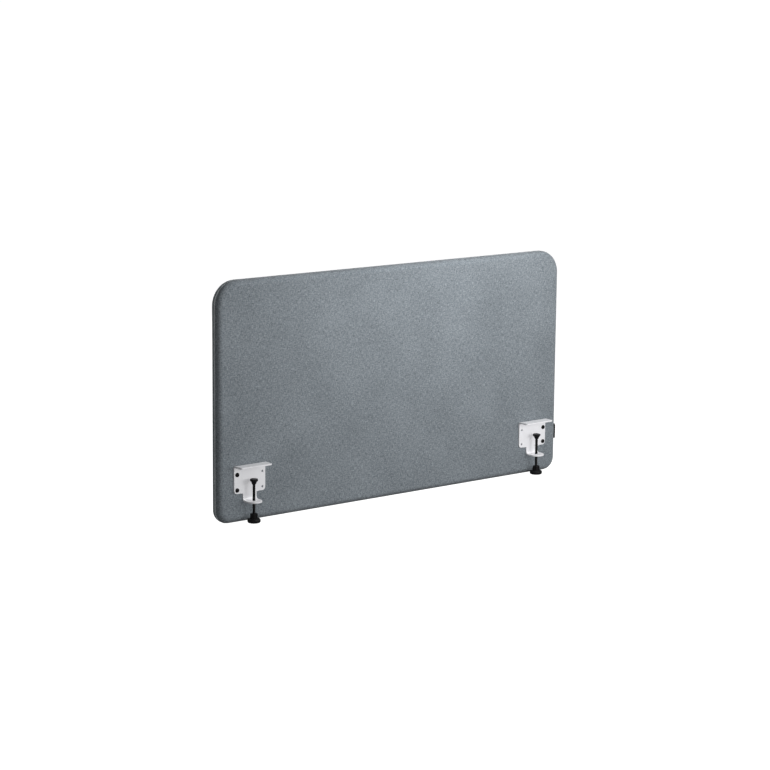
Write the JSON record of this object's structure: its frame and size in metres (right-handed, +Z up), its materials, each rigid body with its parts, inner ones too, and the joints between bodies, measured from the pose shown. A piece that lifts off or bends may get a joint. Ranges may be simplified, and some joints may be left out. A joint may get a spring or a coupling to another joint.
{
  "type": "desk privacy panel",
  "caption": "Rectangular fabric-covered acoustic desk panel with rounded corners, a zipped cover and bent steel screw-clamp brackets for a desktop's edge.",
  "frame": {"origin": "centre of the panel's bottom edge, on its mid-plane", "axes": "+X to the right along the panel, +Y to the panel's back, +Z up; the brackets are on the front, towards -Y"},
  "size_m": [1.2112, 0.085, 0.6499],
  "materials": {
    "cover_fabric": "plain-weave upholstery fabric, mid grey",
    "wadding": "white polyester wadding",
    "core_felt": "pressed polyester felt",
    "timber": "planed pine",
    "dowel": "fluted beech dowel",
    "zip_tape": "woven dark grey tape",
    "zip_coil": "grey nylon coil",
    "zip_metal": "black lacquered",
    "zip_pull": "black moulded",
    "bracket_paint": "white-grey powder coat",
    "black_screw": "black oxide",
    "insert_steel": "zinc plated",
    "black_plastic": "black moulded, fine texture"
  },
  "bodies": {
    "panel": {"frame_stile_left": "timber", "frame_stile_right": "timber", "frame_rail_top": "timber", "frame_rail_bottom": "timber", "corner_dowels": "dowel", "core_board": "core_felt", "wadding_front": "wadding", "wadding_back": "wadding", "zip_tape_front": "zip_tape", "zip_tape_back": "zip_tape", "zip_coil_front": "zip_coil", "zip_coil_back": "zip_coil", "zip_stops": "zip_metal", "threaded_inserts_left": "insert_steel", "threaded_inserts_right": "insert_steel", "cover_front": "cover_fabric", "cover_back": "cover_fabric", "bracket_left": "bracket_paint", "bracket_right": "bracket_paint", "panel_screws_left": "black_screw", "panel_screws_right": "black_screw"},
    "left_pad": {"clamp_pad_left": "black_plastic"},
    "left_screw": {"clamp_screw_left": "black_screw", "clamp_knob_left": "black_plastic"},
    "right_pad": {"clamp_pad_right": "black_plastic"},
    "right_screw": {"clamp_screw_right": "black_screw", "clamp_knob_right": "black_plastic"},
    "zip_slider": {"zip_slider": "zip_metal"},
    "zip_pull": {"zip_pull": "zip_pull"}
  },
  "joints": [
    {"name": "left_clamp_travel", "type": "slide", "parent": "panel", "child": "left_pad", "axis": [0, 0, 1], "range_m": [-0.04375, 0.03]},
    {"name": "left_clamp_turn", "type": "hinge", "parent": "left_pad", "child": "left_screw", "pos_m": [-0.503, -0.043, 0.109], "axis": [0, 0, 1], "range_deg": [-12600, 8640]},
    {"name": "right_clamp_travel", "type": "slide", "parent": "panel", "child": "right_pad", "axis": [0, 0, 1], "range_m": [-0.04375, 0.03]},
    {"name": "right_clamp_turn", "type": "hinge", "parent": "right_pad", "child": "right_screw", "pos_m": [0.503, -0.043, 0.109], "axis": [0, 0, 1], "range_deg": [-12600, 8640]},
    {"name": "zip_run", "type": "slide", "parent": "panel", "child": "zip_slider", "axis": [0, 0, 1], "range_m": [0, 0.44], "deforming": ["zip_coil_front", "zip_coil_back"]},
    {"name": "zip_pull_swing", "type": "hinge", "parent": "zip_slider", "child": "zip_pull", "pos_m": [0.6073, 0, 0.1255], "axis": [0, -1, 0], "range_deg": [0, 150]}
  ],
  "couplings": [
    {"joint": "left_clamp_turn", "follows": "left_clamp_travel", "rad_per_m": 5026.5},
    {"joint": "right_clamp_turn", "follows": "right_clamp_travel", "rad_per_m": 5026.5}
  ]
}
